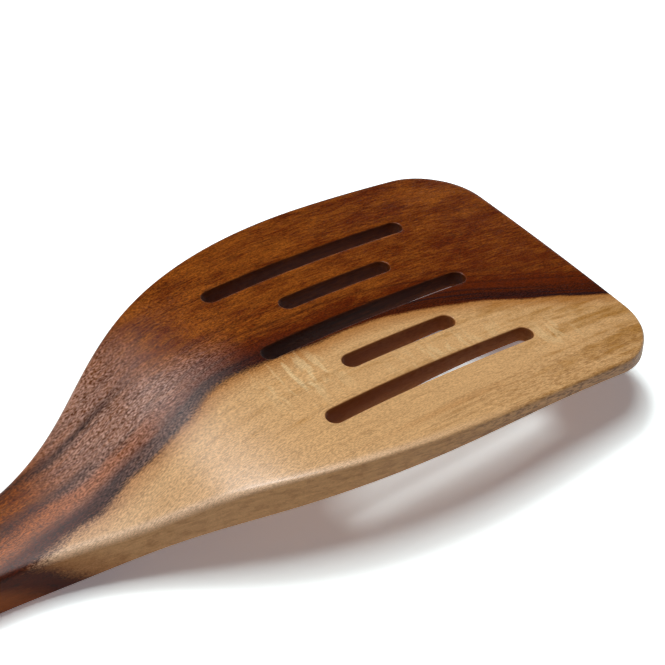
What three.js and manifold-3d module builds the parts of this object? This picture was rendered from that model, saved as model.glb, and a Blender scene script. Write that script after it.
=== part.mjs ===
// Slotted wooden turner, shaped from one board.
// Millimetres, +Z up. +X runs towards the front edge of the blade, and the part lies on the flat
// underside of its handle, with the origin under the middle of its length.
import * as THREE from "three";
import { mergeVertices } from "three/addons/utils/BufferGeometryUtils.js";
import Module from "manifold-3d";

// Places along the turner, measured back from the front edge
const LENGTH = 355;
const BLADE_WIDEST_AT = 46;
const UNDERSIDE_CREST_AT = 59;
const CREST_AT = 87;
const EDGE_CRISP_TO = 92; // from here on the long edges grow rounder
const NECK_AT = 132;
const HANDLE_FLAT_AT = 162;
const WAIST_AT = 170;
const GRIP_SETBACK = 30; // fullest place of the grip, from the handle's end

// Widths seen from above
const FRONT_WIDTH = 87.4;
const BLADE_WIDTH = 89.5;
const WAIST_WIDTH = 19.6;
const GRIP_WIDTH = 31.5;
const FRONT_CORNER_RADIUS = 16.2;
const END_CORNER_RADIUS = 12;

// Heights of the top seen from the side, above the flat underside of the handle
const TIP_HEIGHT = 18.4;
const CREST_HEIGHT = 27.8;

// Thicknesses at the middle of the width
const TIP_THICKNESS = 5.8;
const BLADE_THICKNESS = 5.9; // where the underside of the blade is highest
const WAIST_THICKNESS = 12.3;
const GRIP_THICKNESS = 14.5;

// How far each curve runs level before it turns
const SHOULDER_REACH = 73;
const WAIST_REACH = 45;
const GRIP_REACH = 60;
const TIP_REACH = 33;
const CREST_REACH = 47;
const HANDLE_TOP_REACH = 54;
const UNDERSIDE_TIP_REACH = 26;
const UNDERSIDE_CREST_REACH = 72;
const HANDLE_FLAT_REACH = 34;

// Rounding of the surface
const CROWN = 1; // the top falls this much from its middle to its edges
const BLADE_EDGE_ROUND = 0.8;
const NECK_EDGE_ROUND = 1.9;
const GRIP_EDGE_ROUND = 4.6;

// Slots through the blade, long and short in turn, and the hole that the turner hangs from
const SLOT_COUNT = 5;
const SLOT_PITCH = 12.5;
const SLOT_WIDTH = 4.6;
const LONG_SLOT = 59.2;
const SHORT_SLOT = 32;
const SLOTS_AT = 58.2;
const HANG_HOLE_DIAMETER = 8;
const HANG_HOLE_SETBACK = 17;
const CUT_OVERRUN = 10; // how far each cut runs past the wood

// Fineness of the surface, in steps
const CURVE_STEPS = 48;
const BODY_STEPS = 48;
const CORNER_STEPS = 8;
const EDGE_STEPS = 3;
const CROWN_STEPS = 8;
const CUT_STEPS = 8;
const HOLE_SIDES = 24;

// A rounded edge takes at most this share of the wall, and never vanishes at the ends
const EDGE_SHARE = 0.4;
const LEAST_ROUND = 0.2;

const WOOD_COLOUR = "#8d5a33";
const WOOD_ROUGHNESS = 0.55;

// Reads a line drawn along the turner as a height at any distance back from the front edge
function readLine(line) {
  const points = line.getPoints(CURVE_STEPS);
  return (back) => {
    let next = points.findIndex((point) => point.x >= back);
    next = next < 0 ? points.length - 1 : Math.max(next, 1);
    const from = points[next - 1];
    const to = points[next];
    const share = THREE.MathUtils.clamp((back - from.x) / (to.x - from.x), 0, 1);
    return THREE.MathUtils.lerp(from.y, to.y, share);
  };
}

// Half of the outline seen from above, before its corners are rounded
function planLine() {
  const front = FRONT_WIDTH / 2;
  const widest = BLADE_WIDTH / 2;
  const waist = WAIST_WIDTH / 2;
  const grip = GRIP_WIDTH / 2;
  const gripAt = LENGTH - GRIP_SETBACK;
  const line = new THREE.Path();
  line.moveTo(0, front);
  line.quadraticCurveTo(BLADE_WIDEST_AT / 2, widest, BLADE_WIDEST_AT, widest);
  line.bezierCurveTo(
    BLADE_WIDEST_AT + SHOULDER_REACH, widest,
    WAIST_AT - WAIST_REACH, waist,
    WAIST_AT, waist,
  );
  line.bezierCurveTo(
    WAIST_AT + GRIP_REACH, waist,
    gripAt - GRIP_REACH, grip,
    gripAt, grip,
  );
  line.lineTo(LENGTH, grip);
  return line;
}

// Middle of the top seen from the side: it rises from the tip, crosses the crest and sinks to the handle
function topLine() {
  const gripAt = LENGTH - GRIP_SETBACK;
  const line = new THREE.Path();
  line.moveTo(0, TIP_HEIGHT);
  line.quadraticCurveTo(CREST_AT - TIP_REACH, CREST_HEIGHT, CREST_AT, CREST_HEIGHT);
  line.bezierCurveTo(
    CREST_AT + CREST_REACH, CREST_HEIGHT,
    WAIST_AT - HANDLE_TOP_REACH, WAIST_THICKNESS,
    WAIST_AT, WAIST_THICKNESS,
  );
  line.bezierCurveTo(
    WAIST_AT + GRIP_REACH, WAIST_THICKNESS,
    gripAt - GRIP_REACH, GRIP_THICKNESS,
    gripAt, GRIP_THICKNESS,
  );
  line.lineTo(LENGTH, GRIP_THICKNESS);
  return line;
}

// Underside seen from the side, flat at zero along the handle
function undersideLine(topAt) {
  const crest = topAt(UNDERSIDE_CREST_AT) - BLADE_THICKNESS;
  const line = new THREE.Path();
  line.moveTo(0, TIP_HEIGHT - TIP_THICKNESS);
  line.quadraticCurveTo(UNDERSIDE_CREST_AT - UNDERSIDE_TIP_REACH, crest, UNDERSIDE_CREST_AT, crest);
  line.bezierCurveTo(
    UNDERSIDE_CREST_AT + UNDERSIDE_CREST_REACH, crest,
    HANDLE_FLAT_AT - HANDLE_FLAT_REACH, 0,
    HANDLE_FLAT_AT, 0,
  );
  line.lineTo(LENGTH, 0);
  return line;
}

// Radius of the long edges: crisp round the blade, softer along the neck, full along the handle
function edgeLine() {
  const line = new THREE.Path();
  const growTo = (back, radius) => {
    const from = line.currentPoint;
    const middle = (from.x + back) / 2;
    line.bezierCurveTo(middle, from.y, middle, radius, back, radius);
  };
  line.moveTo(0, BLADE_EDGE_ROUND);
  line.lineTo(EDGE_CRISP_TO, BLADE_EDGE_ROUND);
  growTo(NECK_AT, NECK_EDGE_ROUND);
  growTo(LENGTH - GRIP_SETBACK, GRIP_EDGE_ROUND);
  line.lineTo(LENGTH, GRIP_EDGE_ROUND);
  return line;
}

const halfWidthAt = readLine(planLine());
const topAt = readLine(topLine());
const undersideAt = readLine(undersideLine(topAt));
const edgeAt = readLine(edgeLine());

// What a quarter round of a given radius takes off at some distance from the end
function roundLoss(radius, distance) {
  if (distance >= radius) {
    return 0;
  }
  return radius - Math.sqrt(radius ** 2 - (radius - distance) ** 2);
}

// Distances back from the front edge at which the body is drawn, closest at its rounded ends
function drawStations() {
  const stations = [];
  const corner = (step) => 1 - Math.cos((step / CORNER_STEPS) * (Math.PI / 2));
  for (let step = 0; step < CORNER_STEPS; step += 1) {
    stations.push(FRONT_CORNER_RADIUS * corner(step));
  }
  const straight = LENGTH - FRONT_CORNER_RADIUS - END_CORNER_RADIUS;
  for (let step = 0; step < BODY_STEPS; step += 1) {
    stations.push(FRONT_CORNER_RADIUS + (straight * step) / BODY_STEPS);
  }
  for (let step = CORNER_STEPS; step >= 0; step -= 1) {
    stations.push(LENGTH - END_CORNER_RADIUS * corner(step));
  }
  return stations;
}

// Closed section across the turner: a flat underside, four rounded edges and a crowned top
function sectionAt(back) {
  const atFront = back < LENGTH / 2;
  const distance = atFront ? back : LENGTH - back;
  const cornerRadius = atFront ? FRONT_CORNER_RADIUS : END_CORNER_RADIUS;
  const half = halfWidthAt(back) - roundLoss(cornerRadius, distance);
  const wall = topAt(back) - CROWN - undersideAt(back);
  const edge = Math.min(edgeAt(back), wall * EDGE_SHARE);
  const loss = roundLoss(edge, distance);
  const round = Math.max(edge - loss, LEAST_ROUND);
  const low = undersideAt(back) + loss;
  const high = topAt(back) - CROWN - loss;
  const flat = half - round;
  const points = [];
  const addEdge = (side, height, from) => {
    for (let step = 0; step <= EDGE_STEPS; step += 1) {
      const angle = from + (step / EDGE_STEPS) * (Math.PI / 2);
      points.push([side * flat + round * Math.cos(angle), height + round * Math.sin(angle)]);
    }
  };
  addEdge(1, low + round, -Math.PI / 2);
  addEdge(1, high - round, 0);
  for (let step = 1; step < CROWN_STEPS; step += 1) {
    const across = 1 - (2 * step) / CROWN_STEPS;
    points.push([flat * across, high + CROWN * (1 - across ** 2)]);
  }
  addEdge(-1, high - round, Math.PI / 2);
  addEdge(-1, low + round, Math.PI);
  return points;
}

// Skin stretched over the sections, closed by a flat cap at each end
function bodyGeometry() {
  const stations = drawStations();
  const sections = stations.map(sectionAt);
  const count = sections[0].length;
  const positions = [];
  const triangles = [];
  sections.forEach((section, ring) => {
    section.forEach(([across, height]) => positions.push(LENGTH / 2 - stations[ring], across, height));
  });
  for (let ring = 0; ring + 1 < sections.length; ring += 1) {
    for (let place = 0; place < count; place += 1) {
      const here = ring * count + place;
      const beside = ring * count + ((place + 1) % count);
      triangles.push(here, here + count, beside + count);
      triangles.push(here, beside + count, beside);
    }
  }
  const rear = (sections.length - 1) * count;
  const capOf = (section) => {
    const contour = section.map(([across, height]) => new THREE.Vector2(across, height));
    return THREE.ShapeUtils.triangulateShape(contour, []);
  };
  capOf(sections[0]).forEach(([a, b, c]) => triangles.push(a, b, c));
  capOf(sections[sections.length - 1]).forEach(([a, b, c]) => triangles.push(rear + a, rear + c, rear + b));
  const geometry = new THREE.BufferGeometry();
  geometry.setAttribute("position", new THREE.Float32BufferAttribute(positions, 3));
  geometry.setIndex(triangles);
  return geometry;
}

// One slot as a round-ended bar, square to the blade where it passes through
function slotGeometry(place) {
  const length = place % 2 === 0 ? LONG_SLOT : SHORT_SLOT;
  const across = (place - (SLOT_COUNT - 1) / 2) * SLOT_PITCH;
  const radius = SLOT_WIDTH / 2;
  const run = length / 2 - radius;
  const outline = new THREE.Shape();
  outline.absarc(run, 0, radius, -Math.PI / 2, Math.PI / 2);
  outline.absarc(-run, 0, radius, Math.PI / 2, (3 * Math.PI) / 2);
  outline.closePath();
  const depth = CREST_HEIGHT + CUT_OVERRUN;
  const settings = { depth, bevelEnabled: false, curveSegments: CUT_STEPS };
  const geometry = new THREE.ExtrudeGeometry(outline, settings);
  const rise = topAt(SLOTS_AT + LONG_SLOT / 2) - topAt(SLOTS_AT - LONG_SLOT / 2);
  geometry.translate(0, 0, CUT_OVERRUN - depth);
  geometry.rotateY(Math.atan2(rise, LONG_SLOT));
  geometry.translate(LENGTH / 2 - SLOTS_AT, across, topAt(SLOTS_AT));
  return geometry;
}

function hangHoleGeometry() {
  const radius = HANG_HOLE_DIAMETER / 2;
  const depth = GRIP_THICKNESS + 2 * CUT_OVERRUN;
  const geometry = new THREE.CylinderGeometry(radius, radius, depth, HOLE_SIDES);
  geometry.rotateX(Math.PI / 2);
  geometry.translate(HANG_HOLE_SETBACK - LENGTH / 2, 0, GRIP_THICKNESS / 2);
  return geometry;
}

const wasm = await Module();
wasm.setup();

function toSolid(geometry) {
  geometry.deleteAttribute("normal");
  geometry.deleteAttribute("uv");
  const merged = mergeVertices(geometry);
  const vertProperties = new Float32Array(merged.attributes.position.array);
  const triVerts = new Uint32Array(merged.index.array);
  return new wasm.Manifold(new wasm.Mesh({ numProp: 3, vertProperties, triVerts }));
}

function toGeometry(solid) {
  const { vertProperties, triVerts } = solid.getMesh();
  const geometry = new THREE.BufferGeometry();
  geometry.setAttribute("position", new THREE.BufferAttribute(vertProperties, 3));
  geometry.setIndex(new THREE.BufferAttribute(triVerts, 1));
  geometry.computeVertexNormals();
  return geometry;
}

function turnerBody() {
  let solid = toSolid(bodyGeometry());
  for (let place = 0; place < SLOT_COUNT; place += 1) {
    solid = solid.subtract(toSolid(slotGeometry(place)));
  }
  solid = solid.subtract(toSolid(hangHoleGeometry()));
  const finish = { color: WOOD_COLOUR, roughness: WOOD_ROUGHNESS, metalness: 0 };
  const mesh = new THREE.Mesh(toGeometry(solid), new THREE.MeshStandardMaterial(finish));
  mesh.name = "turner_body";
  return mesh;
}

const turner = new THREE.Group();
turner.add(turnerBody());

export default turner;
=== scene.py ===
"""Looks of a slotted wooden turner: its fine carved surface, its oiled wood and its studio."""
import math
from typing import NamedTuple

import bmesh
import bpy
import numpy as np
from bpy.props import FloatProperty, FloatVectorProperty, IntProperty, PointerProperty
from mathutils import Color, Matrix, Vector


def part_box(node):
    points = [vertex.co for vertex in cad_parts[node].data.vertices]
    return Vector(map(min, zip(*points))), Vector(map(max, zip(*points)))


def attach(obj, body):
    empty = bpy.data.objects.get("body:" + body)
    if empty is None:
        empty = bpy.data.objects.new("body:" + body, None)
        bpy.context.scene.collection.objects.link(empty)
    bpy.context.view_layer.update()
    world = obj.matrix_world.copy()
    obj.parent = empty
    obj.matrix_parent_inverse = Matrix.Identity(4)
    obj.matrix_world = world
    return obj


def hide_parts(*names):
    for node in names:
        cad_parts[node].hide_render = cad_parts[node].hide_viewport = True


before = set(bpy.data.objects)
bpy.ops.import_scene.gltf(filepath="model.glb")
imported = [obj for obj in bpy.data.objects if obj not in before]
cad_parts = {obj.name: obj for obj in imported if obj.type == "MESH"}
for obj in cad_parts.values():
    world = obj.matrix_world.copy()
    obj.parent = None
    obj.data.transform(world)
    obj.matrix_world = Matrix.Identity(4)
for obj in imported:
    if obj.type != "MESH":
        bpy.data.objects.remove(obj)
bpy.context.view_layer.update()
BOARD_LOW, BOARD_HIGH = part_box("turner_body")

bl_info = {
    "name": "Slotted wooden turner",
    "version": (1, 0, 0),
    "blender": (4, 5, 0),
    "location": "View3D > Sidebar > Turner",
    "description": "Carves a slotted turner out of a board of two-toned wood and sets up its studio",
    "category": "Add Mesh",
}

MILLIMETRE = 0.001
QUARTER_TURN = math.pi / 2
FULL_CHANNEL = 255


def length_of(name, description, millimetres):
    """A size of the turner that can be changed in the sidebar."""
    return FloatProperty(
        name=name, description=description, default=millimetres * MILLIMETRE, unit="LENGTH", precision=4
    )


def colour_of(name, description, code):
    """A colour of the wood or the stage that can be changed in the sidebar."""
    return FloatVectorProperty(
        name=name, description=description, default=linear(code), subtype="COLOR", size=3, min=0, max=1
    )


def linear(code):
    """Light of a colour written as six hexadecimal digits."""
    channels = [channel / FULL_CHANNEL for channel in bytes.fromhex(code)]
    return tuple(Color(channels).from_srgb_to_scene_linear())


class TurnerShape(bpy.types.PropertyGroup):
    """Sizes of the turner. Places along it are measured back from the front edge."""

    length: FloatProperty(
        name="Length", description="From the front edge to the end of the handle",
        default=BOARD_HIGH.x - BOARD_LOW.x, unit="LENGTH", precision=4,
    )
    blade_width: FloatProperty(
        name="Blade width", description="Width of the blade at its widest",
        default=BOARD_HIGH.y - BOARD_LOW.y, unit="LENGTH", precision=4,
    )
    front_width: length_of("Front width", "Width of the blade at its front edge", 87.4)
    waist_width: length_of("Waist width", "Width of the handle at its narrowest", 19.6)
    grip_width: length_of("Grip width", "Width of the handle near its end", 31.5)
    front_corner: length_of("Front corner", "Radius of the blade's front corners", 16.2)
    end_corner: length_of("End corner", "Radius of the corners at the handle's end", 12)
    widest_at: length_of("Widest at", "Place where the blade is widest", 46)
    crest_at: length_of("Crest at", "Place where the top is highest", 87)
    underside_crest_at: length_of("Underside crest at", "Place where the hollow below is highest", 59)
    edge_crisp_to: length_of("Edge crisp to", "Place from which the long edges grow rounder", 92)
    neck_at: length_of("Neck at", "Place of the neck behind the blade", 132)
    handle_flat_at: length_of("Handle flat at", "Place where the handle's flat underside begins", 162)
    waist_at: length_of("Waist at", "Place where the handle is narrowest", 170)
    grip_setback: length_of("Grip setback", "Distance of the full grip from the handle's end", 30)
    tip_height: length_of("Tip height", "Height of the top at the front edge", 18.4)
    crest_height: length_of("Crest height", "Height of the top at the crest", 27.8)
    tip_thickness: length_of("Tip thickness", "Thickness at the front edge", 5.8)
    blade_thickness: length_of("Blade thickness", "Thickness where the underside is highest", 5.9)
    waist_thickness: length_of("Waist thickness", "Thickness of the handle at its narrowest", 12.3)
    grip_thickness: length_of("Grip thickness", "Thickness of the grip", 14.5)
    shoulder_reach: length_of("Shoulder reach", "How far the blade's sides run before they turn in", 73)
    waist_reach: length_of("Waist reach", "How far the waist runs before it widens to the blade", 45)
    grip_reach: length_of("Grip reach", "How far waist and grip run before they meet", 60)
    tip_reach: length_of("Tip reach", "How far the crest runs towards the tip", 33)
    crest_reach: length_of("Crest reach", "How far the crest runs towards the handle", 47)
    handle_top_reach: length_of("Handle top reach", "How far the handle's top runs before it rises", 54)
    underside_tip_reach: length_of("Underside tip reach", "How far the hollow runs towards the tip", 26)
    underside_crest_reach: length_of("Underside crest reach", "How far the hollow runs to the handle", 72)
    handle_flat_reach: length_of("Handle flat reach", "How far the flat runs on before it rises", 34)
    crown: length_of("Crown", "How much the top falls from its middle to its edges", 1)
    blade_round: length_of("Blade edge round", "Radius of the blade's edges", 0.8)
    neck_round: length_of("Neck edge round", "Radius of the neck's edges", 1.9)
    grip_round: length_of("Grip edge round", "Radius of the grip's edges", 4.6)
    slot_count: IntProperty(name="Slots", description="Slots, long and short in turn", default=5)
    slot_pitch: length_of("Slot pitch", "Distance between neighbouring slots", 12.5)
    slot_width: length_of("Slot width", "Width of a slot", 4.6)
    long_slot: length_of("Long slot", "Length of a long slot", 59.2)
    short_slot: length_of("Short slot", "Length of a short slot", 32)
    slots_at: length_of("Slots at", "Place of the middle of the slots", 58.2)
    slot_round: length_of("Slot edge round", "Radius of the slots' edges", 0.3)
    hole_width: length_of("Hang hole", "Diameter of the hole that the turner hangs from", 8)
    hole_setback: length_of("Hang hole setback", "Distance of the hole from the handle's end", 17)
    hole_round: length_of("Hang hole edge round", "Radius of the hole's edges", 0.9)


class TurnerWood(bpy.types.PropertyGroup):
    """Colours and sheen of the wood."""

    heart_orange: colour_of("Heart orange", "Light clouds of the heartwood", "8e4c14")
    heart_brown: colour_of("Heart brown", "Deep clouds of the heartwood", "581f03")
    heart_amber: colour_of("Heart amber", "Bright band of the heartwood in the neck", "a85e2c")
    # On the cut walls of the heartwood this dark colour is painted shade
    heart_dark: colour_of("Heart dark", "Growth lines of the heartwood, and its cut walls", "361204")
    streak: colour_of("Streak", "Nearly black streaks along the neck", "1c1217")
    sap_cream: colour_of("Sap cream", "Light lines of the sapwood", "d0a470")
    sap_gold: colour_of("Sap gold", "Golden lines of the sapwood", "a6763a")
    sap_amber: colour_of("Sap amber", "Stain of the sapwood beside the heartwood", "a4692e")
    # Also used for the streaks and blotches on the side walls, which are partly grain and partly painted
    # shade
    sap_brown: colour_of("Sap brown", "Flecks of the sapwood", "84562a")
    # Ripple figure of the sapwood, partly its grain and partly its chatoyant sheen painted in as a paler
    # colour
    sap_light: colour_of("Sap light", "Ripples across the sapwood", "e4c694")
    # Painted highlight along the neck's edges and painted sheen on the neck's sapwood, in a pale colour
    sap_highlight: colour_of("Sap rubbed", "Sapwood rubbed pale along the neck's edge", "eaccb0")
    pore: colour_of("Pore", "Fine pores, and flecks of the side walls", "361808")
    # Painted sheen: a grey sheen and glints painted into the colour of the neck's raised grain
    painted_sheen: colour_of("Bloom", "Grey bloom on the raised grain of the neck", "b8988a")
    # Painted shade on the walls of the slots and the hang hole, in an orange brown
    slot_shade: colour_of("Burnt", "Walls of the cuts, darkened by the cutter and by oil", "a4580c")
    gloss: FloatProperty(
        name="Gloss", description="Strength of the reflections", default=0.26, min=0, max=1
    )
    gloss_low: FloatProperty(
        name="Roughness low", description="Roughness of polished patches", default=0.17, min=0, max=1
    )
    gloss_high: FloatProperty(
        name="Roughness high", description="Roughness of duller patches", default=0.21, min=0, max=1
    )


class TurnerStage(bpy.types.PropertyGroup):
    """Floor, light and camera."""

    floor_colour: colour_of("Floor", "Colour of the floor to the eye", "f3ffff")
    floor_bounce: colour_of("Floor bounce", "Colour of the light that the floor sends back", "dccfc6")
    floor_glow: colour_of("Floor glow", "Light that the floor adds where it is seen", "72686a")
    floor_lift: FloatProperty(
        name="Floor lift", description="How far the floor is lifted over white for the eye", default=1.7
    )
    floor_size: FloatProperty(
        name="Floor size", description="Side of the floor", default=100, unit="LENGTH"
    )
    key_strength: FloatProperty(name="Key", description="Strength of the overhead light", default=1.5)
    key_spread: FloatProperty(
        name="Key spread", description="Angle that the overhead light fills", default=math.radians(34),
        subtype="ANGLE",
    )
    key_from: FloatVectorProperty(
        name="Key from", description="Direction of the overhead light", default=(-0.12, 0.16, 1),
        subtype="DIRECTION",
    )
    back_strength: FloatProperty(name="Back", description="Strength of the light behind", default=1.5)
    back_spread: FloatProperty(
        name="Back spread", description="Angle that the light behind fills", default=math.radians(23),
        subtype="ANGLE",
    )
    back_from: FloatVectorProperty(
        name="Back from", description="Direction of the light behind", default=(-0.05, 0.46, 1),
        subtype="DIRECTION",
    )
    sky_high: FloatProperty(name="Sky", description="Light of the dim studio overhead", default=0.04)
    sky_low: FloatProperty(name="Horizon", description="Light of the studio at floor level", default=0.5)
    camera_place: FloatVectorProperty(
        name="Camera place", description="Where the camera stands", default=(-0.06596, -0.23998, 0.28533),
        subtype="XYZ", unit="LENGTH",
    )
    camera_azimuth: FloatProperty(
        name="Camera azimuth", description="Turn of the camera round the upright",
        default=math.radians(-36.15), subtype="ANGLE",
    )
    camera_elevation: FloatProperty(
        name="Camera elevation", description="How far the camera looks down",
        default=math.radians(41.25), subtype="ANGLE",
    )
    camera_lens: FloatProperty(name="Lens", description="Focal length in millimetres", default=92.03)


# Lines of the turner, read at any distance back from the front edge

CURVE_SAMPLES = 400
EDGE_SHARE = 0.4


def bezier(points):
    """Samples along a Bezier curve of any degree."""
    share = np.linspace(0, 1, CURVE_SAMPLES)[:, None]
    layer = [np.array(point, float) for point in points]
    while len(layer) > 1:
        layer = [start * (1 - share) + end * share for start, end in zip(layer, layer[1:])]
    return layer[0]


def eased(start, end):
    """Control points of a curve that leaves and arrives level."""
    middle = (start[0] + end[0]) / 2
    return [start, (middle, start[1]), (middle, end[1]), end]


def line_reader(*curves):
    """A function that reads the height of joined curves at any place along them."""
    samples = np.concatenate([bezier(points) for points in curves])
    return lambda back: np.interp(back, samples[:, 0], samples[:, 1])


class Lines:
    """Plan, top, underside and edge rounding of the turner at any distance from the front."""

    def __init__(self, shape):
        grip_at = shape.length - shape.grip_setback
        self.half_width = line_reader(
            [(0, shape.front_width / 2), (shape.widest_at / 2, shape.blade_width / 2),
             (shape.widest_at, shape.blade_width / 2)],
            [(shape.widest_at, shape.blade_width / 2),
             (shape.widest_at + shape.shoulder_reach, shape.blade_width / 2),
             (shape.waist_at - shape.waist_reach, shape.waist_width / 2),
             (shape.waist_at, shape.waist_width / 2)],
            [(shape.waist_at, shape.waist_width / 2),
             (shape.waist_at + shape.grip_reach, shape.waist_width / 2),
             (grip_at - shape.grip_reach, shape.grip_width / 2), (grip_at, shape.grip_width / 2)],
        )
        self.top = line_reader(
            [(0, shape.tip_height), (shape.crest_at - shape.tip_reach, shape.crest_height),
             (shape.crest_at, shape.crest_height)],
            [(shape.crest_at, shape.crest_height),
             (shape.crest_at + shape.crest_reach, shape.crest_height),
             (shape.waist_at - shape.handle_top_reach, shape.waist_thickness),
             (shape.waist_at, shape.waist_thickness)],
            [(shape.waist_at, shape.waist_thickness),
             (shape.waist_at + shape.grip_reach, shape.waist_thickness),
             (grip_at - shape.grip_reach, shape.grip_thickness), (grip_at, shape.grip_thickness)],
        )
        hollow = float(self.top(shape.underside_crest_at)) - shape.blade_thickness
        self.underside = line_reader(
            [(0, shape.tip_height - shape.tip_thickness),
             (shape.underside_crest_at - shape.underside_tip_reach, hollow),
             (shape.underside_crest_at, hollow)],
            [(shape.underside_crest_at, hollow),
             (shape.underside_crest_at + shape.underside_crest_reach, hollow),
             (shape.handle_flat_at - shape.handle_flat_reach, 0), (shape.handle_flat_at, 0)],
        )
        crisp = (shape.edge_crisp_to, shape.blade_round)
        neck = (shape.neck_at, shape.neck_round)
        self.drawn_round = line_reader(
            [(0, shape.blade_round), crisp], eased(crisp, neck), eased(neck, (grip_at, shape.grip_round))
        )
        self.crown = shape.crown

    def edge_round(self, back):
        """Radius of the long edges, never more than a share of the wall."""
        wall = self.top(back) - self.crown - self.underside(back)
        return np.minimum(self.drawn_round(back), EDGE_SHARE * wall)


# Carving of the board

RING = 1.3 * MILLIMETRE
BOARD_DEPTH = 10 * MILLIMETRE
WIDEST_CELL = 6 * MILLIMETRE
OUTER_ROWS = 3
SAME_LINE_DIGITS = 7
FINE_CUTS = 3
OPENING_REACH = 3.5 * MILLIMETRE
END_REACH = 20 * MILLIMETRE
SLOT_ZONE_SHARE = 0.9
NECK_BEGINS = 92 * MILLIMETRE
NECK_ENDS = 140 * MILLIMETRE
CUT_MARK = "cut"
EDGE_MARK = "edge"
SIDE_MARK = "side"
SIDE_RISE = 1.6
EDGE_MARK_REACH = 4 * MILLIMETRE


def smooth_step(value):
    """Goes smoothly from 0 to 1 as a value does."""
    value = np.clip(value, 0, 1)
    return value * value * (3 - 2 * value)


def disc(across, along):
    """Moves points of a square's outline onto its circle."""
    return across * np.sqrt(1 - along ** 2 / 2), along * np.sqrt(1 - across ** 2 / 2)


def select_faces(piece, wanted):
    """Selects the faces of the edited piece whose middle passes a test."""
    bpy.ops.mesh.select_all(action="DESELECT")
    work = bmesh.from_edit_mesh(piece.data)
    for face in work.faces:
        face.select = wanted(face.calc_center_median())
    bmesh.update_edit_mesh(piece.data)


class Opening:
    """A slot or a round hole: a stadium whose straight part lies along X."""

    def __init__(self, middle, across, length, width, edge):
        self.middle = middle
        self.across = across
        self.radius = width / 2
        self.run = length / 2 - self.radius
        self.edge = edge

    def cross_lines(self):
        """Places along X where the board needs a line across it."""
        reach = self.run + self.radius
        return [self.middle + side * step for side in (-1, 1) for step in {self.run, reach}]

    def holds(self, point, half_height):
        """Whether a point lies in the square hole that the opening begins as."""
        return (abs(point.x - self.middle) < self.run + self.radius
                and abs(point.y - self.across) < half_height)


def openings_of(shape):
    """Slots from one side of the blade to the other."""
    found = []
    for place in range(shape.slot_count):
        length = shape.long_slot if place % 2 == 0 else shape.short_slot
        across = (place - (shape.slot_count - 1) / 2) * shape.slot_pitch
        middle = shape.length / 2 - shape.slots_at
        found.append(Opening(middle, across, length, shape.slot_width, shape.slot_round))
    return found


def spread(marks, widest):
    """Marks with even steps added between those that lie too far apart."""
    marks = sorted(marks)
    lines = []
    for start, end in zip(marks, marks[1:]):
        steps = math.ceil((end - start) / widest)
        lines += [start + (end - start) * step / steps for step in range(steps)]
    return lines[1:]


def saw_lines(shape, slots, hole):
    """Places of the lines across the board and along it, with lines at the edges of every opening."""
    columns = [-shape.length / 2, hole.middle, shape.length / 2]
    for opening in slots + [hole]:
        columns += opening.cross_lines()
    columns = {round(place, SAME_LINE_DIGITS) for place in columns}
    outer = slots[-1].across + slots[-1].radius
    edge = shape.blade_width / 2
    rows = []
    for slot in slots:
        rows += [slot.across - slot.radius, slot.across, slot.across + slot.radius]
    rows += [(here.across + there.across) / 2 for here, there in zip(slots, slots[1:])]
    for step in range(1, OUTER_ROWS + 1):
        far = outer + (edge - outer) * step / (OUTER_ROWS + 1)
        rows += [far, -far]
    return spread(columns, WIDEST_CELL), rows


def saw_board(shape, slots, hole, hole_half):
    """A flat board in squares, with its slots and its hole sawn out square, then given its thickness."""
    bpy.ops.object.select_all(action="DESELECT")
    bpy.ops.mesh.primitive_plane_add(size=1)
    board = bpy.context.object
    board.name = "turner_wood"
    bpy.ops.object.mode_set(mode="EDIT")
    bpy.ops.transform.resize(value=(shape.length, shape.blade_width, 1))
    columns, rows = saw_lines(shape, slots, hole)
    for place in columns:
        bpy.ops.mesh.select_all(action="SELECT")
        bpy.ops.mesh.bisect(plane_co=(place, 0, 0), plane_no=(1, 0, 0))
    for place in rows:
        bpy.ops.mesh.select_all(action="SELECT")
        bpy.ops.mesh.bisect(plane_co=(0, place, 0), plane_no=(0, 1, 0))
    select_faces(board, lambda point: any(slot.holds(point, slot.radius) for slot in slots))
    bpy.ops.mesh.delete(type="FACE")
    select_faces(board, lambda point: hole.holds(point, hole_half))
    bpy.ops.mesh.delete(type="FACE")
    bpy.ops.mesh.select_all(action="SELECT")
    bpy.ops.mesh.inset(thickness=RING, use_boundary=True, use_even_offset=True)
    bpy.ops.object.mode_set(mode="OBJECT")
    bpy.ops.object.modifier_add(type="SOLIDIFY")
    thickness = board.modifiers[-1]
    thickness.thickness = BOARD_DEPTH
    thickness.offset = -1
    bpy.ops.object.modifier_apply(modifier=thickness.name)
    bpy.ops.object.mode_set(mode="EDIT")
    bpy.ops.mesh.select_all(action="SELECT")
    bpy.ops.mesh.subdivide(number_cuts=FINE_CUTS)
    bpy.ops.mesh.normals_make_consistent(inside=False)
    bpy.ops.object.mode_set(mode="OBJECT")
    bpy.ops.object.transform_apply(location=True, rotation=True, scale=True)
    return board


def ring_step(distance, radius):
    """How far a point of the board's edge ring ends up from the carved edge."""
    turn = np.clip(distance / RING, 0, 1) * QUARTER_TURN
    return radius * (1 - np.cos(turn)) + np.maximum(distance - RING, 0)


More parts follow.
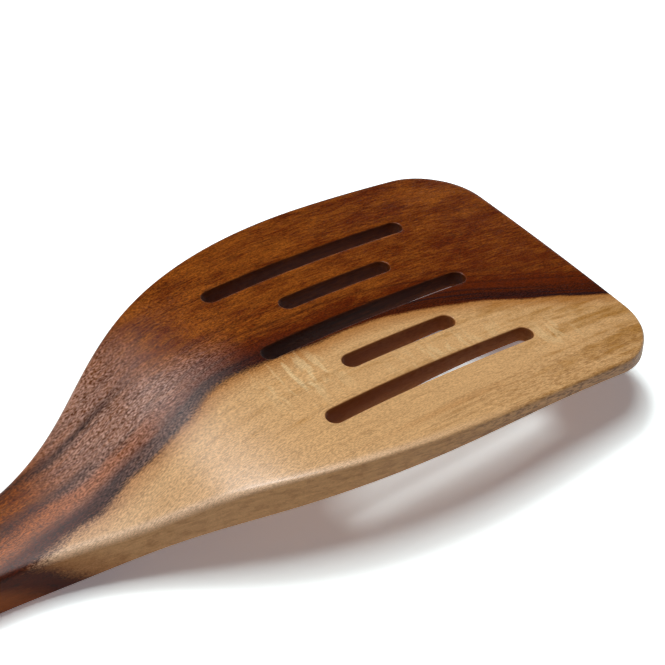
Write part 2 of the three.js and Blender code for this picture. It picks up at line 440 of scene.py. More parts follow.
def open_up(x, y, opening, half_height, square_x, square_y):
    """Rounds an opening's square ends and draws its edge ring in. Also gives each point's distance."""
    along = square_x - opening.middle
    end = np.sign(along) * np.maximum(np.abs(along) - opening.run, 0)
    up = square_y - opening.across
    distance = np.maximum(np.abs(end) - opening.radius, np.abs(up) - half_height)
    distance = np.maximum(distance, 0)
    round_x, round_y = disc(end / (opening.radius + distance), up / (half_height + distance))
    radius = opening.radius + ring_step(distance, opening.edge)
    plain = smooth_step((distance - RING) / (OPENING_REACH - RING))
    new_x = opening.middle + along - end + round_x * radius
    new_y = opening.across + round_y * radius
    return new_x * (1 - plain) + x * plain, new_y * (1 - plain) + y * plain, distance


def mark(mesh, name, values):
    """Keeps a value for each point of the mesh."""
    layer = mesh.attributes.new(name, "FLOAT", "POINT")
    layer.data.foreach_set("value", values.astype(np.float32))


def carve(board, shape, slots, hole, hole_half):
    """Gives the squared board the turner's outline, rounded edges, top and underside."""
    lines = Lines(shape)
    mesh = board.data
    places = np.empty(len(mesh.vertices) * 3, np.float32)
    mesh.vertices.foreach_get("co", places)
    square_x, square_y, square_z = places.reshape(-1, 3).astype(float).T
    share = 1 + square_z / BOARD_DEPTH
    side = np.sign(square_y)
    half_board = shape.blade_width / 2

    # Ends: the ring at the front edge and at the handle's end takes the local edge radius
    from_end = shape.length / 2 - np.abs(square_x)
    end_round = lines.edge_round(np.where(square_x > 0, 0, shape.length))
    drawn = ring_step(from_end, end_round)
    plain = smooth_step((from_end - RING) / (END_REACH - RING))
    drawn = drawn * (1 - plain) + from_end * plain
    x = np.sign(square_x) * (shape.length / 2 - drawn)
    back = shape.length / 2 - x

    # Rows: straight beside the slots, drawn together along the neck and the handle
    half = lines.half_width(back)
    edge = lines.edge_round(back)
    flat = half - edge
    inner = half_board - RING
    rows = np.minimum(np.abs(square_y), inner)
    zone_rows = slots[-1].across + slots[-1].radius + OPENING_REACH
    zone = np.minimum(zone_rows, SLOT_ZONE_SHARE * flat)
    beside = np.where(
        rows <= zone_rows, rows * zone / zone_rows,
        zone + (rows - zone_rows) / (inner - zone_rows) * (flat - zone),
    )
    neck = smooth_step((back - NECK_BEGINS) / (NECK_ENDS - NECK_BEGINS))
    inside = beside * (1 - neck) + rows / inner * flat * neck
    from_side = half_board - np.abs(square_y)
    y = side * np.where(from_side < RING, half - ring_step(from_side, edge), inside)

    # Corners: square rings become arcs
    corner = np.where(x > 0, shape.front_corner, shape.end_corner)
    over_x = np.abs(x) - (shape.length / 2 - corner)
    over_y = np.abs(y) - (half - corner)
    reach = np.maximum(over_x, over_y)
    turned = (over_x > 0) & (over_y > 0)
    safe = np.where(turned, reach, 1)
    arc_x, arc_y = disc(np.where(turned, over_x, 0) / safe, np.where(turned, over_y, 0) / safe)
    x = np.where(turned, np.sign(x) * (shape.length / 2 - corner + arc_x * reach), x)
    y = np.where(turned, side * (half - corner + arc_y * reach), y)
    ring = np.minimum(from_end, from_side)
    radius = edge
    cut = np.zeros(len(x))

    # Openings: slots in the blade and the hang hole
    for opening in slots + [hole]:
        half_height = hole_half if opening is hole else opening.radius
        x, y, distance = open_up(x, y, opening, half_height, square_x, square_y)
        nearer = distance < np.minimum(ring, RING)
        ring = np.where(nearer, distance, ring)
        radius = np.where(nearer, opening.edge, radius)
        cut = np.maximum(cut, 1 - np.clip(distance / RING, 0, 1))

    # Heights: crowned top, underside, and the quarter rounds along every edge
    back = shape.length / 2 - x
    flat = lines.half_width(back) - lines.edge_round(back)
    high = lines.top(back) - shape.crown * np.minimum((y / flat) ** 2, 1)
    low = lines.underside(back)
    turn = np.clip(ring / RING, 0, 1) * QUARTER_TURN
    sink = radius * (1 - np.sin(turn))
    z = (low + sink) * (1 - share) + (high - sink) * share
    mesh.vertices.foreach_set("co", np.stack([x, y, z], -1).astype(np.float32).ravel())
    mesh.update()
    from_outline = np.minimum(lines.half_width(back) - np.abs(y), shape.length / 2 - np.abs(x))
    mark(mesh, CUT_MARK, cut)
    on_wall = (share > 0) & (share < 1)
    mark(mesh, SIDE_MARK, np.where(on_wall, 1, np.clip(1 - SIDE_RISE * ring / RING, 0, 1)))
    mark(mesh, EDGE_MARK, np.exp(-np.maximum(from_outline, 0) / EDGE_MARK_REACH))


# Wood: lines that the grain follows, with places in millimetres from the middle of the turner

GRAIN_UNIT = 1 / MILLIMETRE
HEART_LINE_SPAN = (-180, 180)
HEART_LINE_RANGE = (-36, -14)
HEART_LINE_BENDS = (
    (-180, -34), (-60, -27), (0, -20.5), (23, -17.8), (30, -16.9), (40, -18), (50, -18.5), (61, -20),
    (69, -18.8), (79, -16.9), (90, -17.1), (101, -18), (114, -17.8), (127, -19), (142, -22), (159, -27.2),
    (180, -33),
)
HEART_LINE_LEAN = 0.535
TOP_LINE_MARKS = 24
TOP_LINE_RANGE = (0, 30)
NOISE_MIDDLE = 0.5


class Grain(NamedTuple):
    """Noise whose blobs have a length along the grain and a width across it, in millimetres."""

    along: float
    across: float
    detail: float = 2
    roughness: float = 0.5
    wander: float = 0


class Spot(NamedTuple):
    """A place on the turner, how far along and across it something ends, and its share in the middle."""

    x: float
    y: float
    reach_along: float
    reach_across: float
    share: float = 1


class Net:
    """Nodes of a material or of the world, added and joined in the order that they are needed."""

    def __init__(self, owner, shader):
        owner.use_nodes = True
        self.owner = owner
        self.nodes = owner.node_tree.nodes
        self.links = owner.node_tree.links
        self.shader = self.nodes[shader]

    def feed(self, socket, value):
        """Links an output to a socket, or sets a plain value on it."""
        if isinstance(value, bpy.types.NodeSocket):
            self.links.new(value, socket)
        elif socket.type == "RGBA":
            socket.default_value = (*value, 1)
        else:
            socket.default_value = value

    def math(self, operation, *values):
        node = self.nodes.new("ShaderNodeMath")
        node.operation = operation
        for socket, value in zip(node.inputs, values):
            self.feed(socket, value)
        return node.outputs[0]

    def chain(self, operation, first, *others):
        """Joins values by one operation, from left to right."""
        for value in others:
            first = self.math(operation, first, value)
        return first

    def total(self, *values):
        return self.chain("ADD", *values)

    def product(self, *values):
        return self.chain("MULTIPLY", *values)

    def largest(self, *values):
        return self.chain("MAXIMUM", *values)

    def span(self, value, low, high, out_low, out_high, way="LINEAR"):
        """Carries a range of values over to another."""
        node = self.nodes.new("ShaderNodeMapRange")
        node.interpolation_type = way
        for socket, part in zip(node.inputs, (value, low, high, out_low, out_high)):
            self.feed(socket, part)
        return node.outputs["Result"]

    def between(self, share, first, second):
        """Goes evenly from one value to another as a share goes from 0 to 1."""
        return self.span(share, 0, 1, first, second)

    def swing(self, noise, half):
        """Carries a range on both sides of the middle of a noise over to -1 and 1."""
        return self.span(noise, NOISE_MIDDLE - half, NOISE_MIDDLE + half, -1, 1)

    def rise(self, value, begin, full, share=1):
        """Goes smoothly from 0 at one value to a share at another."""
        return self.span(value, begin, full, 0, share, "SMOOTHSTEP")

    def hill(self, value, middle, half, share=1):
        """A share at one value, falling smoothly to 0 on both sides of it."""
        away = self.math("ABSOLUTE", self.math("SUBTRACT", value, middle))
        return self.rise(away, half, 0, share)

    def blend(self, share, first, second, way="MIX"):
        node = self.nodes.new("ShaderNodeMix")
        node.data_type = "RGBA"
        node.blend_type = way
        colours = [socket for socket in node.inputs if socket.type == "RGBA"]
        self.feed(node.inputs[0], share)
        self.feed(colours[0], first)
        self.feed(colours[1], second)
        return next(socket for socket in node.outputs if socket.type == "RGBA")

    def coat(self, colour, over, *shares):
        """A colour with another laid over it, as far as all of the shares together allow."""
        return self.blend(self.product(*shares), colour, over)

    def noise(self, place, grain):
        """Noise of a kind of grain."""
        stretch = self.nodes.new("ShaderNodeVectorMath")
        stretch.operation = "MULTIPLY"
        self.feed(stretch.inputs[0], place)
        stretch.inputs[1].default_value = (1 / grain.along, 1 / grain.across, 1 / grain.across)
        node = self.nodes.new("ShaderNodeTexNoise")
        self.links.new(stretch.outputs[0], node.inputs["Vector"])
        node.inputs["Scale"].default_value = 1
        node.inputs["Detail"].default_value = grain.detail
        node.inputs["Roughness"].default_value = grain.roughness
        node.inputs["Distortion"].default_value = grain.wander
        return node.outputs["Fac"]

    def join(self, *parts):
        """A place made of its three parts."""
        node = self.nodes.new("ShaderNodeCombineXYZ")
        for socket, part in zip(node.inputs, parts):
            self.feed(socket, part)
        return node.outputs[0]

    def mark(self, name):
        """Reads a value that the mesh keeps for each of its points."""
        node = self.nodes.new("ShaderNodeAttribute")
        node.attribute_name = name
        return node.outputs["Fac"]

    def bend(self, value, points, span, reach):
        """Reads a value off a curve drawn through a few points."""
        node = self.nodes.new("ShaderNodeFloatCurve")
        self.feed(node.inputs["Value"], self.span(value, *span, 0, 1))
        curve = node.mapping.curves[0]
        spots = [((at - span[0]) / (span[1] - span[0]), (height - reach[0]) / (reach[1] - reach[0]))
                 for at, height in points]
        curve.points[0].location = spots[0]
        curve.points[1].location = spots[-1]
        for spot in spots[1:-1]:
            curve.points.new(*spot)
        node.mapping.update()
        return self.between(node.outputs["Value"], *reach)


# Grains of the wood

FIBRES = Grain(9, 0.4, detail=3, roughness=0.65)
SPECKS = Grain(0.7, 0.2, roughness=0.6)
WAVES = Grain(14, 5, detail=3)
PORES = Grain(3.2, 0.3, roughness=0.55)
BROAD_CLOUDS = Grain(10, 5, detail=6, roughness=0.62)
FINE_CLOUDS = Grain(4, 0.6, detail=3, roughness=0.6)
GROWTH_LINES = Grain(60, 1.3, detail=3, roughness=0.6)
NECK_LINES = Grain(15, 1.1, detail=4, roughness=0.7)
STREAK_BREAKS = Grain(18, 2, detail=4, roughness=0.6)
SAP_TONES = Grain(38, 3, detail=5, roughness=0.66)
SAP_DAPPLES = Grain(6, 2.4, detail=4, roughness=0.6)
SAP_LINES = Grain(26, 0.9, detail=3, roughness=0.6)
SAP_FLECKS = Grain(1.8, 0.5, detail=3, roughness=0.6)
SAP_RIPPLES = Grain(1.8, 8, wander=0.4)
WALL_STREAKS_AND_SHADE = Grain(16, 0.8, detail=4, roughness=0.65)
WALL_BLOTCHES_AND_SHADE = Grain(3, 1.6, detail=4, roughness=0.65)
POLISH_PATCHES = Grain(22, 6)

# Boundary of the two woods: how far it frays in the neck and in the blade, in millimetres

NECK_TO_BLADE = (72, 114)
SPECK_SWING = 0.2
SPECK_FRAY = (0.6, 0.12)
FIBRE_SWING = 0.25
FIBRE_FRAY = (0.4, 0.16)
WAVE_SWING = 0.25
WAVE_FRAY = (0.7, 0.4)
HEART_ENDS = (-1.4, -0.5)
SAP_BEGINS = (1.6, 0.7)

# Dark streak along the boundary: depths inside the heartwood, and where it fades along the turner

STREAK_BEGINS = (-0.6, 1)
STREAK_FULL_TO = 2.2
STREAK_ENDS = (6.4, 8)
STREAK_FADES = (22, 48)
STREAK_FADED = 0.5

# Heartwood: where a feature begins and where it is full, or its middle and its reach, then its share

CLOUD_SHARE = 0.5
CLOUD_LEVEL = -0.01
CLOUD_EDGES = (0.29, 0.65)
FRONT_DUSK = (118, 150, -0.08)
LIGHT_CORNER = Spot(162, 33, 20, 14, 0.08)
INNER_DUSK = (14, 5, -0.18)
GROWTH_LINE_EDGES = (0.48, 0.66)
GROWTH_LINE_DEPTHS = (17, 7)
GROWTH_LINE_SHARES = (0.2, 0.75)
# Painted sheen: where a grey sheen with glints is painted on the raised grain of the neck and on its
# streak
GLINT_EDGES = (0.34, 0.68)
SHEEN_BELOW_TOP = (-5, -2)
SHEEN_PATCH = Spot(70, 6, 20, 10, 0.5)
NECK_SHEEN_AT = (51, 22, 0.78)
NECK_SHEEN_DEPTHS = (2, 7)
NECK_LINE_EDGES = (0.5, 0.64)
NECK_LINES_AT = (52, 36, 0.4)
BREAK_EDGES = (0.3, 0.7)
BREAK_SHARES = (0.68, 1)
SPECK_BREAK_EDGES = (0.36, 0.64)
SPECK_BREAK_SHARES = (1, 0.72)
STREAK_LINE_SHARE = 0.7
STREAK_SHEEN_AT = (60, 26, 0.3)
AMBER_DEPTHS = (7, 3.8)
AMBER_FADES = (82, 34, 0.68)
INNER_STREAK_DEPTHS = (11.4, 2.6)
INNER_STREAK_FADES = (56, 34, 0.75)
FAR_STREAK_DEPTHS = (21.2, 2.8)
FAR_STREAK_FADES = (68, 50)

# Sapwood, with the same kinds of values

TONES = (0.38, 0.62, 0.65)
DAPPLE_SWING = 0.2
DAPPLE_SHARE = 0.35
BRIGHT_BAND_ACROSS = (-31, 9)
BRIGHT_BAND_FADES = (165, 130, 0.5)
FRONT_GOLD = (208, 112)
GOLD_LEVEL = -0.03
GOLD_EDGES = (0, 1.3)
STAIN_REACH = (6, 0, 0.78)
AMBER_BAND = Spot(116, -36.5, 26, 1.6, 0.35)
SAP_LINE_EDGES = (0.5, 0.66)
SAP_LINES_ACROSS = (-31, -41)
SAP_LINE_SHARES = (0.12, 0.28)
FLECK_EDGES = (0.46, 0.62)
FLECKS_ACROSS = (-31, -38)
FLECKS_ALONG = (112, 132, 0.4)
WALL_FLECKS_ALONG = (88, 128, 0.52)
RIPPLE_EDGES = (0.48, 0.62, 0.7)
RIPPLE_SPOTS = (Spot(93, -11, 15, 13), Spot(128, -20, 26, 6, 0.6), Spot(153, -28, 12, 8, 0.6))
# Painted highlight along the edges of the neck, and painted sheen on the sapwood of the neck
EDGE_HIGHLIGHT_FADES = (120, 70, 0.2)
RIM_HIGHLIGHT_EDGES = (0.5, 0.8)
RIM_HIGHLIGHT_FADES = (140, 70, 0.45)
SAP_NECK_SHEEN = (88, 50, 0.1)
# Streaks and blotches on the side walls: partly grain, partly painted shade that darkens the walls
STREAK_AND_SHADE_EDGES = (0.36, 0.64, 0.22)
BLOTCH_AND_SHADE_EDGES = (0.48, 0.62, 0.32)

# Threads, pores, and painted shade in the cuts: shares in the heartwood and in the sapwood, or in the
# neck and in the blade

WALL_THREADS = 0.3
FIBRE_THREAD_SWING = 0.2
FIBRE_THREADS = (0.14, 0.08)
SPECK_THREAD_SWING = 0.1
SPECK_THREADS = (0.56, 0.36)
SAP_SPECK_THREADS = 0.46
PORE_EDGES = (0.57, 0.68)
PORE_SHARES = (0.25, 0.13)
# Painted shade on the walls of the slots and the hang hole
SLOT_SHADE_SHARES = (0.1, 0.7)
SLOT_WALL_SHADE_SHARES = (0.18, 0)

# Sheen: roughness added in some places, and heights of the fine relief in millimetres

POLISH_EDGES = (0.3, 0.7)
NECK_DULL = 0.03
HANDLE_DULL = (58, 40, 0.16)
STREAK_DULL = (90, 72, 0.16)
SAP_DULL = (100, 64, 0.09)
PORE_DULL = 0.03
EDGE_DULL = -0.08
WALL_DULL = 0.3
SPECK_RELIEF = (0.06, 0.015)
SAP_RELIEF_SHARE = 0.3
EDGE_RELIEF_SHARE = 0.2
PORE_RELIEF = -0.006
FIBRE_RELIEF = 0.015


class WoodNet(Net):
    """Nodes of wood cut where dark heartwood meets pale sapwood, oiled to a satin sheen."""

    def __init__(self, wood, shape):
        super().__init__(bpy.data.materials.new("oiled wood"), "Principled BSDF")
        self.wood = wood
        self.cut = self.mark(CUT_MARK)
        self.edge = self.mark(EDGE_MARK)
        self.side = self.mark(SIDE_MARK)
        self.find_place(shape)
        self.find_growth()
        self.pores = self.rise(self.noise(self.skin, PORES), *PORE_EDGES)
        self.paint()
        self.polish()

    def find_place(self, shape):
        """Where a point lies in millimetres, also with its height measured from the top line.

        The grain takes the second, so that it runs along the surface where it dips to the handle.
        """
        scale = self.nodes.new("ShaderNodeVectorMath")
        scale.operation = "SCALE"
        self.links.new(self.nodes.new("ShaderNodeTexCoord").outputs["Object"], scale.inputs[0])
        scale.inputs["Scale"].default_value = GRAIN_UNIT
        self.place = scale.outputs[0]
        split = self.nodes.new("ShaderNodeSeparateXYZ")
        self.links.new(self.place, split.inputs[0])
        self.x, self.y, self.z = split.outputs
        self.ahead = self.rise(self.x, *NECK_TO_BLADE)
        half_length = shape.length / MILLIMETRE / 2
        marks = np.linspace(-half_length, half_length, TOP_LINE_MARKS)
        tops = Lines(shape).top((half_length - marks) * MILLIMETRE) / MILLIMETRE
        top_line = self.bend(self.x, list(zip(marks, tops)), (-half_length, half_length), TOP_LINE_RANGE)
        self.below = self.math("SUBTRACT", self.z, top_line)
        self.skin = self.join(self.x, self.y, self.below)

    def find_growth(self):
        """How far a point lies outside the heartwood, across the grain, with a frayed boundary."""
        bend = self.bend(self.x, HEART_LINE_BENDS, HEART_LINE_SPAN, HEART_LINE_RANGE)
        growth = self.math("SUBTRACT", self.total(bend, self.product(self.z, HEART_LINE_LEAN)), self.y)
        self.rings = self.join(self.x, growth, self.below)
        self.fibre = self.noise(self.rings, FIBRES)
        self.speck = self.noise(self.skin, SPECKS)
        wave = self.noise(self.place, WAVES)
        fray = self.total(
            self.product(self.swing(self.speck, SPECK_SWING), self.between(self.ahead, *SPECK_FRAY)),
            self.product(self.swing(self.fibre, FIBRE_SWING), self.between(self.ahead, *FIBRE_FRAY)),
            self.product(self.swing(wave, WAVE_SWING), self.between(self.ahead, *WAVE_FRAY)),
        )
        self.frayed = self.math("ADD", growth, fray)
        self.depth = self.product(self.frayed, -1)
        heart_end = self.between(self.ahead, *HEART_ENDS)
        self.sap = self.rise(self.frayed, heart_end, self.between(self.ahead, *SAP_BEGINS))
        self.near_line = self.product(
            self.rise(self.depth, *STREAK_BEGINS),
            self.rise(self.depth, self.between(self.ahead, *STREAK_ENDS), STREAK_FULL_TO),
            self.between(self.rise(self.x, *STREAK_FADES), STREAK_FADED, 1),
        )

    def spot(self, spot):
        """Full in the middle of a spot, falling smoothly to 0 all round it."""
        along = self.hill(self.x, spot.x, spot.reach_along)
        return self.product(along, self.hill(self.y, spot.y, spot.reach_across, spot.share))

    def heartwood(self):
        """Warm brown clouds and dark growth lines, with dark streaks and a painted grey sheen with glints
        in the neck.
        """
        wood = self.wood
        clouds = self.total(
            self.product(self.noise(self.skin, BROAD_CLOUDS), CLOUD_SHARE),
            self.product(self.noise(self.skin, FINE_CLOUDS), CLOUD_SHARE),
            CLOUD_LEVEL, self.rise(self.x, *FRONT_DUSK), self.spot(LIGHT_CORNER),
            self.rise(self.depth, *INNER_DUSK),
        )
        heart = self.blend(self.rise(clouds, *CLOUD_EDGES), wood.heart_brown, wood.heart_orange)
        lines = self.rise(self.noise(self.rings, GROWTH_LINES), *GROWTH_LINE_EDGES)
        line_share = self.between(self.rise(self.depth, *GROWTH_LINE_DEPTHS), *GROWTH_LINE_SHARES)
        heart = self.coat(heart, wood.heart_dark, lines, line_share)
        # A grey sheen and glints painted on the raised grain of the neck
        near_top = self.rise(self.below, *SHEEN_BELOW_TOP)
        raised = self.product(self.rise(self.speck, *GLINT_EDGES), near_top)
        neck = self.product(self.hill(self.x, *NECK_SHEEN_AT), self.rise(self.depth, *NECK_SHEEN_DEPTHS))
        heart = self.coat(heart, wood.painted_sheen, self.total(self.spot(SHEEN_PATCH), neck), raised)
        return self.streaked(heart, lines, raised)

    def streaked(self, heart, lines, raised):
        """Heartwood with the dark streak along the boundary, and the bands beyond it in the neck."""
        wood = self.wood
        neck_lines = self.rise(self.noise(self.rings, NECK_LINES), *NECK_LINE_EDGES)
        heart = self.coat(heart, wood.streak, neck_lines, self.hill(self.x, *NECK_LINES_AT))
        broken = self.product(
            self.span(self.noise(self.rings, STREAK_BREAKS), *BREAK_EDGES, *BREAK_SHARES),
            self.span(self.speck, *SPECK_BREAK_EDGES, *SPECK_BREAK_SHARES),
        )
        streak = self.blend(self.ahead, wood.streak, wood.heart_dark)
        heart = self.coat(heart, streak, self.near_line, broken)
        heart = self.coat(heart, wood.streak, self.near_line, lines, self.ahead, STREAK_LINE_SHARE)
        # Painted sheen and glints on the streak in the neck
        heart = self.coat(heart, wood.painted_sheen, self.hill(self.x, *STREAK_SHEEN_AT), self.near_line, raised)
        amber = self.hill(self.depth, *AMBER_DEPTHS)
        heart = self.coat(heart, wood.heart_amber, amber, self.rise(self.x, *AMBER_FADES))
        inner = self.hill(self.depth, *INNER_STREAK_DEPTHS)
        heart = self.coat(heart, wood.streak, inner, self.rise(self.x, *INNER_STREAK_FADES), broken)
        far = self.hill(self.depth, *FAR_STREAK_DEPTHS)
        return self.coat(heart, wood.streak, far, self.rise(self.x, *FAR_STREAK_FADES), broken)

    def sapwood(self):
        """Cream with golden lines along the grain, stained where it meets the heartwood."""
        wood = self.wood
        tone = self.rise(self.noise(self.skin, SAP_TONES), *TONES)
        dapple = self.swing(self.noise(self.place, SAP_DAPPLES), DAPPLE_SWING)
        band = self.product(self.hill(self.y, *BRIGHT_BAND_ACROSS), self.rise(self.x, *BRIGHT_BAND_FADES))
        golden = self.total(
            tone, self.rise(self.x, *FRONT_GOLD), self.product(dapple, DAPPLE_SHARE), band, GOLD_LEVEL
        )
        pale = self.blend(self.rise(golden, *GOLD_EDGES), wood.sap_gold, wood.sap_cream)
        pale = self.coat(pale, wood.sap_amber, self.rise(self.frayed, *STAIN_REACH))
        pale = self.coat(pale, wood.sap_amber, self.spot(AMBER_BAND))
        lines = self.rise(self.noise(self.skin, SAP_LINES), *SAP_LINE_EDGES)
        line_share = self.between(self.rise(self.y, *SAP_LINES_ACROSS), *SAP_LINE_SHARES)
        pale = self.coat(pale, wood.sap_brown, lines, line_share)
        flecks = self.rise(self.noise(self.skin, SAP_FLECKS), *FLECK_EDGES)
        near_edge = self.rise(self.y, *FLECKS_ACROSS)
        pale = self.coat(pale, wood.sap_brown, flecks, near_edge, self.rise(self.x, *FLECKS_ALONG))
        pale = self.coat(pale, wood.pore, flecks, self.side, self.rise(self.x, *WALL_FLECKS_ALONG))
        # Ripple figure: partly the grain's figure, partly its chatoyant sheen painted in as a paler
        # colour
        figure = self.rise(self.noise(self.place, SAP_RIPPLES), *RIPPLE_EDGES)
        figured = self.largest(*[self.spot(spot) for spot in RIPPLE_SPOTS])
        pale = self.coat(pale, wood.sap_light, figure, figured)
        # Painted highlight along the edges and painted sheen in the neck
        pale = self.coat(pale, wood.sap_highlight, self.highlighted())
        # Streaks and blotches along the side walls: partly grain, partly painted shade that darkens the
        # walls
        wall_place = self.join(self.x, 0, self.below)
        for grain, edges in ((WALL_STREAKS_AND_SHADE, STREAK_AND_SHADE_EDGES), (WALL_BLOTCHES_AND_SHADE, BLOTCH_AND_SHADE_EDGES)):
            side_shade = self.rise(self.noise(wall_place, grain), *edges)
            pale = self.coat(pale, wood.sap_brown, side_shade, self.side)
        return pale

    def highlighted(self):
        """How far the sapwood is painted paler along its edges as a highlight, and in the neck as a
        sheen.
        """
        off_wall = self.math("SUBTRACT", 1, self.side)
        edge_highlight = self.product(self.edge, off_wall, self.rise(self.x, *EDGE_HIGHLIGHT_FADES))
        rim_highlight = self.product(self.rise(self.edge, *RIM_HIGHLIGHT_EDGES), off_wall, self.rise(self.x, *RIM_HIGHLIGHT_FADES))
        return self.total(edge_highlight, rim_highlight, self.rise(self.x, *SAP_NECK_SHEEN))

    def paint(self):
        """Both woods with their threads and pores along the grain, and painted shade on the walls of the
        cuts.
        """
        wood = self.wood
        colour = self.blend(self.sap, self.heartwood(), self.sapwood())
        on_top = self.between(self.side, 1, WALL_THREADS)
        fibres = self.product(
            self.swing(self.fibre, FIBRE_THREAD_SWING), self.between(self.sap, *FIBRE_THREADS), on_top
        )
        specks = self.product(
            self.swing(self.speck, SPECK_THREAD_SWING), self.between(self.sap, 1, SAP_SPECK_THREADS),
            self.between(self.ahead, *SPECK_THREADS), on_top,
        )
        threads = self.total(1, fibres, specks)
        tint = self.nodes.new("ShaderNodeCombineColor")
        for socket in tint.inputs:
            self.feed(socket, threads)
        colour = self.blend(1, colour, tint.outputs[0], "MULTIPLY")
        colour = self.coat(colour, wood.pore, self.pores, self.between(self.sap, *PORE_SHARES), on_top)
        # Painted shade on the walls of the slots and the hang hole
        colour = self.coat(colour, wood.slot_shade, self.cut, self.between(self.sap, *SLOT_SHADE_SHARES))
        slot_wall_shade = self.between(self.sap, *SLOT_WALL_SHADE_SHARES)
        colour = self.coat(colour, wood.heart_dark, self.cut, self.side, slot_wall_shade)
        self.feed(self.shader.inputs["Base Color"], colour)

    def polish(self):
        """Satin sheen, duller in the pores and on the walls, smoother along edges, with raised grain."""
        wood = self.wood
        patches = self.noise(self.place, POLISH_PATCHES)
        roughness = self.total(
            self.span(patches, *POLISH_EDGES, wood.gloss_low, wood.gloss_high),
            self.between(self.ahead, NECK_DULL, 0),
            self.rise(self.x, *HANDLE_DULL),
            self.product(self.near_line, self.rise(self.x, *STREAK_DULL)),
            self.product(self.sap, self.rise(self.x, *SAP_DULL)),
            self.product(self.pores, PORE_DULL),
            self.product(self.edge, EDGE_DULL),
            self.product(self.largest(self.side, self.cut), WALL_DULL),
        )
        self.feed(self.shader.inputs["Roughness"], roughness)
        self.shader.inputs["Specular IOR Level"].default_value = wood.gloss
        specks = self.product(
            self.speck, self.between(self.ahead, *SPECK_RELIEF),
            self.between(self.sap, 1, SAP_RELIEF_SHARE), self.between(self.edge, 1, EDGE_RELIEF_SHARE),
        )
        pores = self.product(self.pores, PORE_RELIEF)
        fibres = self.product(self.fibre, FIBRE_RELIEF)
        bump = self.nodes.new("ShaderNodeBump")
        bump.inputs["Strength"].default_value = 1
        bump.inputs["Distance"].default_value = MILLIMETRE
        self.feed(bump.inputs["Height"], self.total(specks, pores, fibres))
        self.feed(self.shader.inputs["Normal"], bump.outputs["Normal"])


class TURNER_OT_body(bpy.types.Operator):
    """Carves the turner out of a board and gives it its wood"""

    bl_idname = "turner.body"
    bl_label = "Carve the turner"

    def execute(self, context):
        shape = context.scene.turner_shape
        slots = openings_of(shape)
        hole_middle = shape.hole_setback - shape.length / 2
        hole = Opening(hole_middle, 0, shape.hole_width, shape.hole_width, shape.hole_round)
        hole_half = slots[len(slots) // 2 + 1].across + slots[0].radius
        board = saw_board(shape, slots, hole, hole_half)
        carve(board, shape, slots, hole, hole_half)
        bpy.ops.object.shade_smooth()
        board.data.materials.append(WoodNet(context.scene.turner_wood, shape).owner)
        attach(board, "root")
        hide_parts("turner_body")
        return {"FINISHED"}


# Stage: upward parts of a direction between which the studio goes from pale to dim, and the camera

SKY_PALE_TO = 0.08
SKY_DIM_FROM = 0.26
CAMERA_NEAREST = 10 * MILLIMETRE


def sight(net):
    """Rays straight from the eye, and those together with mirrored rays and rays through glass."""
    path = net.nodes.new("ShaderNodeLightPath")
    straight = path.outputs["Is Camera Ray"]
    mirrored = path.outputs["Is Glossy Ray"]
    return straight, net.largest(straight, mirrored, path.outputs["Is Transmission Ray"])


def floor_finish(stage):
    """Pale floor, lifted over white for the eye, that keeps its shadows."""
    net = Net(bpy.data.materials.new("pale floor"), "Principled BSDF")
    straight, seen = sight(net)
    lifted = [part * stage.floor_lift for part in stage.floor_colour]
    shown = net.blend(seen, stage.floor_bounce, stage.floor_colour)
    net.feed(net.shader.inputs["Base Color"], net.blend(straight, shown, lifted))
    net.shader.inputs["Roughness"].default_value = 1
    net.shader.inputs["Specular IOR Level"].default_value = 0
    net.feed(net.shader.inputs["Emission Color"], stage.floor_glow)
    net.feed(net.shader.inputs["Emission Strength"], seen)
    return net.owner


def hang_light(name, strength, spread, direction):
    """A broad, distant light that comes from a direction."""
    turn = Vector(direction).to_track_quat("Z", "Y").to_euler()
    bpy.ops.object.light_add(type="SUN", rotation=turn, location=direction)
    light = bpy.context.object
    light.name = name
    light.data.energy = strength
    light.data.angle = spread


def studio_sky(stage):
    """A dim studio, pale where it meets the floor, with a backdrop that is white to the eye."""
    net = Net(bpy.data.worlds.new("studio"), "Background")
    straight, seen = sight(net)
    split = net.nodes.new("ShaderNodeSeparateXYZ")
    net.links.new(net.nodes.new("ShaderNodeTexCoord").outputs["Generated"], split.inputs[0])
    horizon = net.between(seen, stage.sky_low, 1)
    upward = net.rise(split.outputs["Z"], SKY_PALE_TO, SKY_DIM_FROM)
    light = net.between(upward, horizon, stage.sky_high)
    net.feed(net.shader.inputs["Strength"], net.largest(light, straight))
    net.feed(net.shader.inputs["Color"], (1, 1, 1))
    return net.owner


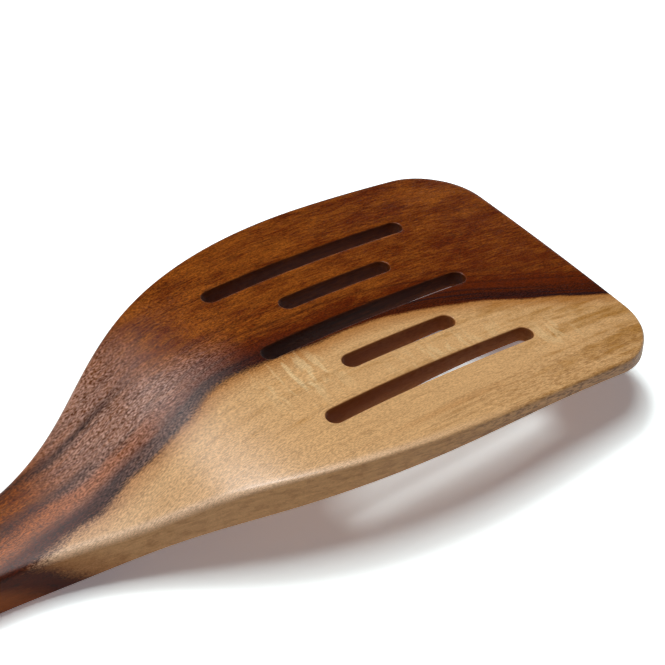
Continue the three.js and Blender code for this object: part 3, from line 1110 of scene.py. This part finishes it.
class TURNER_OT_stage(bpy.types.Operator):
    """Lays the floor, lights it and stands the camera where the picture was taken from"""

    bl_idname = "turner.stage"
    bl_label = "Set the stage"

    def execute(self, context):
        stage = context.scene.turner_stage
        scene = context.scene
        bpy.ops.object.select_all(action="DESELECT")
        bpy.ops.mesh.primitive_plane_add(size=stage.floor_size)
        floor = context.object
        floor.name = "floor"
        floor.data.materials.append(floor_finish(stage))
        hang_light("overhead light", stage.key_strength, stage.key_spread, stage.key_from)
        hang_light("back light", stage.back_strength, stage.back_spread, stage.back_from)
        scene.world = studio_sky(stage)
        bpy.ops.object.camera_add(
            location=stage.camera_place,
            rotation=(QUARTER_TURN - stage.camera_elevation, 0, stage.camera_azimuth),
        )
        camera = context.object
        camera.name = "camera"
        camera.data.lens = stage.camera_lens
        camera.data.clip_start = CAMERA_NEAREST
        scene.camera = camera
        scene.view_settings.view_transform = "Standard"
        return {"FINISHED"}


class TURNER_PT_panel(bpy.types.Panel):
    """Sizes and steps of the turner"""

    bl_label = "Turner"
    bl_idname = "TURNER_PT_panel"
    bl_space_type = "VIEW_3D"
    bl_region_type = "UI"
    bl_category = "Turner"

    def draw(self, context):
        layout = self.layout
        for group in (context.scene.turner_shape, context.scene.turner_wood, context.scene.turner_stage):
            box = layout.box()
            for name in group.__annotations__:
                box.prop(group, name)
        layout.operator(TURNER_OT_body.bl_idname)
        layout.operator(TURNER_OT_stage.bl_idname)


CLASSES = (TurnerShape, TurnerWood, TurnerStage, TURNER_OT_body, TURNER_OT_stage, TURNER_PT_panel)


def register():
    for kind in CLASSES:
        bpy.utils.register_class(kind)
    bpy.types.Scene.turner_shape = PointerProperty(type=TurnerShape)
    bpy.types.Scene.turner_wood = PointerProperty(type=TurnerWood)
    bpy.types.Scene.turner_stage = PointerProperty(type=TurnerStage)


def unregister():
    del bpy.types.Scene.turner_stage
    del bpy.types.Scene.turner_wood
    del bpy.types.Scene.turner_shape
    for kind in reversed(CLASSES):
        bpy.utils.unregister_class(kind)


def main():
    register()
    bpy.ops.turner.body()
    bpy.ops.turner.stage()


if __name__ == "__main__":
    main()
